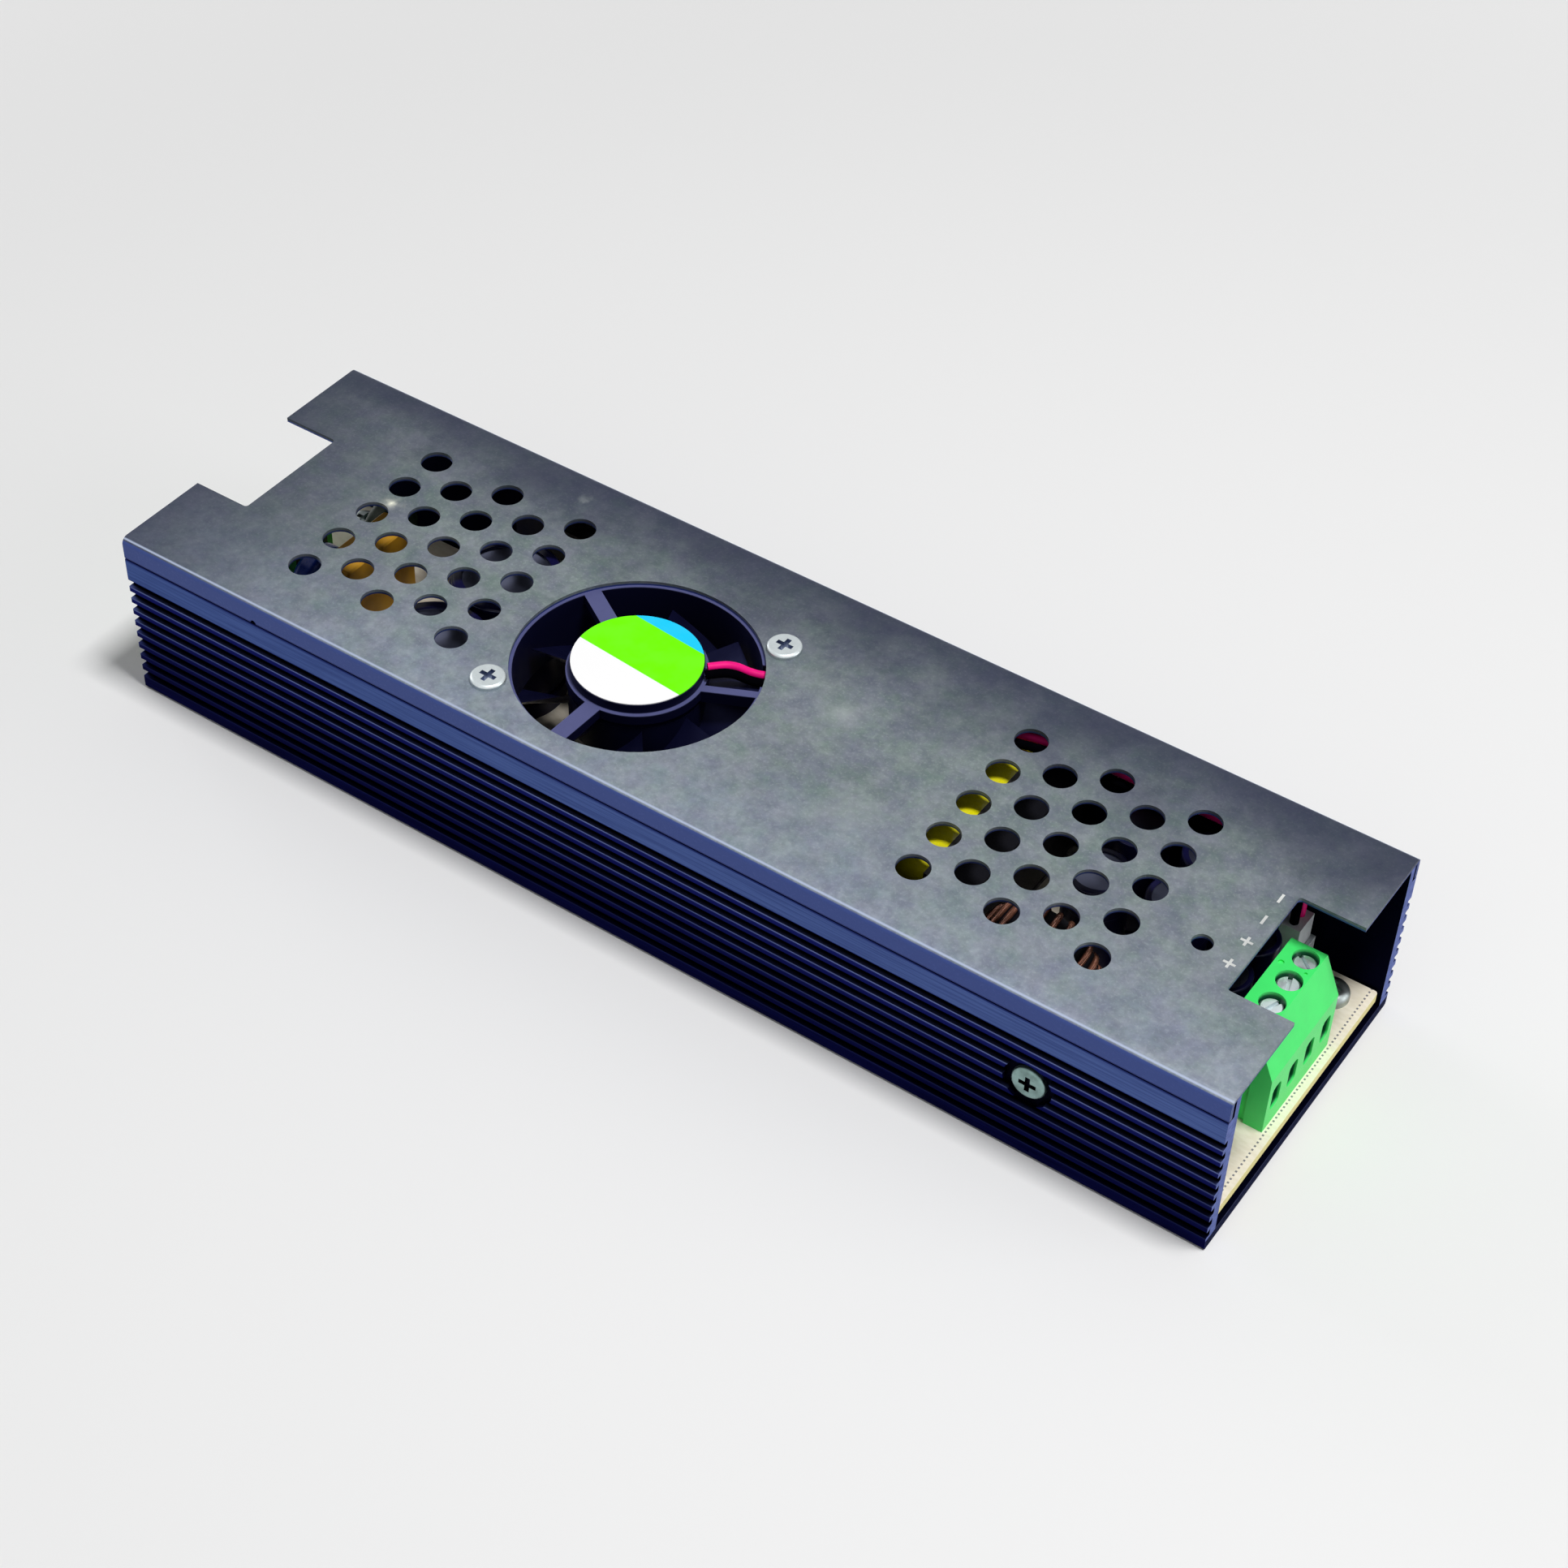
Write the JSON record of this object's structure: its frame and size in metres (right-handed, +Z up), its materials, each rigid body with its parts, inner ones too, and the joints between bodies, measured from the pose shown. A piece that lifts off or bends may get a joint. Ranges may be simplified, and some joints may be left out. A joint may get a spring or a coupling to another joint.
{
  "type": "mesh case switching power supply",
  "caption": "Enclosed power supply: ribbed channel case under a vented sheet cover, fan inside its opening, terminal blocks at both ends.",
  "frame": {"origin": "on the surface it stands on, under the middle of the case", "axes": "+X along the case towards its output terminals, +Y across the case to the wall that carries the switching devices, +Z up"},
  "size_m": [0.198, 0.0566, 0.0323],
  "materials": {
    "anodised_aluminium": "satin anodised",
    "zinc_steel": "zinc plated",
    "white_nylon": "natural",
    "black_epoxy": "moulded epoxy",
    "can_sleeve": "shrink sleeve",
    "board_laminate": "phenolic paper laminate",
    "steel_bar": "plain",
    "bronze": "sintered",
    "fan_plastic": "moulded",
    "connector_white": "natural",
    "label_film": "printed film in plain bands",
    "black_insulation": "PVC",
    "red_insulation": "PVC",
    "ferrite": "sintered ferrite",
    "ground_steel": "ground",
    "enamelled_copper": "enamelled wire",
    "fuse_case": "moulded case",
    "plated_brass": "tin plated",
    "terminal_green": "satin moulded",
    "dark_coating": "epoxy dip",
    "black_film": "film",
    "yellow_case": "moulded case",
    "blue_coating": "epoxy dip",
    "grey_silicone": "silicone rubber",
    "sheet_cover": "matte with a fine speckle",
    "bobbin_plastic": "phenolic",
    "yellow_tape": "polyester tape",
    "trimmer_case": "moulded case"
  },
  "bodies": {
    "case": {"base_channel": "anodised_aluminium", "board_screws": "zinc_steel", "board_spacers": "white_nylon", "bridge_rectifier": "black_epoxy", "bulk_capacitors": "can_sleeve", "circuit_board": "board_laminate", "clamp_bars": "steel_bar", "fan_bearing": "bronze", "fan_frame": "fan_plastic", "fan_header": "connector_white", "fan_label": "label_film", "fan_lead_black": "black_insulation", "fan_lead_red": "red_insulation", "fan_plug": "connector_white", "fan_screws": "zinc_steel", "fan_stator": "enamelled_copper", "fuse": "fuse_case", "hex_nuts": "zinc_steel", "input_contacts": "plated_brass", "input_terminal": "terminal_green", "inrush_thermistor": "dark_coating", "insulating_sheet": "black_film", "line_capacitor": "yellow_case", "line_choke_core": "ferrite", "line_choke_windings": "enamelled_copper", "mosfets": "black_epoxy", "output_capacitors": "can_sleeve", "output_choke_core": "ferrite", "output_choke_winding": "enamelled_copper", "output_contacts": "plated_brass", "output_rectifiers": "black_epoxy", "output_terminal": "terminal_green", "safety_capacitors": "blue_coating", "small_capacitors": "can_sleeve", "thermal_pads": "grey_silicone", "top_cover": "sheet_cover", "transformer_bobbin": "bobbin_plastic", "transformer_core": "ferrite", "transformer_winding": "yellow_tape", "trimmer_body": "trimmer_case", "varistor": "blue_coating", "wall_screws": "zinc_steel"},
    "fan_wheel": {"fan_rotor": "fan_plastic", "fan_shaft": "ground_steel", "fan_magnet": "ferrite"},
    "trimmer_disc": {"trimmer_rotor": "white_nylon"},
    "output_screw_1": {"output_screw_1": "zinc_steel"},
    "output_cage_1": {"output_cage_1": "plated_brass"},
    "output_screw_2": {"output_screw_2": "zinc_steel"},
    "output_cage_2": {"output_cage_2": "plated_brass"},
    "output_screw_3": {"output_screw_3": "zinc_steel"},
    "output_cage_3": {"output_cage_3": "plated_brass"},
    "output_screw_4": {"output_screw_4": "zinc_steel"},
    "output_cage_4": {"output_cage_4": "plated_brass"},
    "input_screw_1": {"input_screw_1": "zinc_steel"},
    "input_cage_1": {"input_cage_1": "plated_brass"},
    "input_screw_2": {"input_screw_2": "zinc_steel"},
    "input_cage_2": {"input_cage_2": "plated_brass"},
    "input_screw_3": {"input_screw_3": "zinc_steel"},
    "input_cage_3": {"input_cage_3": "plated_brass"}
  },
  "joints": [
    {"name": "fan_spin", "type": "hinge", "parent": "case", "child": "fan_wheel", "pos_m": [-0.0158, -0.0044, 0.0245], "axis": [0, 0, 1], "continuous": true},
    {"name": "trimmer_turn", "type": "hinge", "parent": "case", "child": "trimmer_disc", "pos_m": [0.0817, -0.005, 0.0118], "axis": [0, 0, 1], "range_deg": [-135, 135]},
    {"name": "output_screw_1_turn", "type": "hinge", "parent": "case", "child": "output_screw_1", "pos_m": [0.092, -0.00632, 0.02], "axis": [0, 0, -1], "range_deg": [0, 1728]},
    {"name": "output_cage_1_lift", "type": "slide", "parent": "case", "child": "output_cage_1", "axis": [0, 0, 1], "range_m": [0, 0.0024]},
    {"name": "output_screw_2_turn", "type": "hinge", "parent": "case", "child": "output_screw_2", "pos_m": [0.092, -0.00124, 0.02], "axis": [0, 0, -1], "range_deg": [0, 1728]},
    {"name": "output_cage_2_lift", "type": "slide", "parent": "case", "child": "output_cage_2", "axis": [0, 0, 1], "range_m": [0, 0.0024]},
    {"name": "output_screw_3_turn", "type": "hinge", "parent": "case", "child": "output_screw_3", "pos_m": [0.092, 0.00384, 0.02], "axis": [0, 0, -1], "range_deg": [0, 1728]},
    {"name": "output_cage_3_lift", "type": "slide", "parent": "case", "child": "output_cage_3", "axis": [0, 0, 1], "range_m": [0, 0.0024]},
    {"name": "output_screw_4_turn", "type": "hinge", "parent": "case", "child": "output_screw_4", "pos_m": [0.092, 0.00892, 0.02], "axis": [0, 0, -1], "range_deg": [0, 1728]},
    {"name": "output_cage_4_lift", "type": "slide", "parent": "case", "child": "output_cage_4", "axis": [0, 0, 1], "range_m": [0, 0.0024]},
    {"name": "input_screw_1_turn", "type": "hinge", "parent": "case", "child": "input_screw_1", "pos_m": [-0.092, -0.00508, 0.02], "axis": [0, 0, -1], "range_deg": [0, 1728]},
    {"name": "input_cage_1_lift", "type": "slide", "parent": "case", "child": "input_cage_1", "axis": [0, 0, 1], "range_m": [0, 0.0024]},
    {"name": "input_screw_2_turn", "type": "hinge", "parent": "case", "child": "input_screw_2", "pos_m": [-0.092, 0, 0.02], "axis": [0, 0, -1], "range_deg": [0, 1728]},
    {"name": "input_cage_2_lift", "type": "slide", "parent": "case", "child": "input_cage_2", "axis": [0, 0, 1], "range_m": [0, 0.0024]},
    {"name": "input_screw_3_turn", "type": "hinge", "parent": "case", "child": "input_screw_3", "pos_m": [-0.092, 0.00508, 0.02], "axis": [0, 0, -1], "range_deg": [0, 1728]},
    {"name": "input_cage_3_lift", "type": "slide", "parent": "case", "child": "input_cage_3", "axis": [0, 0, 1], "range_m": [0, 0.0024]}
  ],
  "couplings": [
    {"joint": "output_screw_1_turn", "follows": "output_cage_1_lift", "rad_per_m": 12566},
    {"joint": "output_screw_2_turn", "follows": "output_cage_2_lift", "rad_per_m": 12566},
    {"joint": "output_screw_3_turn", "follows": "output_cage_3_lift", "rad_per_m": 12566},
    {"joint": "output_screw_4_turn", "follows": "output_cage_4_lift", "rad_per_m": 12566},
    {"joint": "input_screw_1_turn", "follows": "input_cage_1_lift", "rad_per_m": 12566},
    {"joint": "input_screw_2_turn", "follows": "input_cage_2_lift", "rad_per_m": 12566},
    {"joint": "input_screw_3_turn", "follows": "input_cage_3_lift", "rad_per_m": 12566}
  ]
}
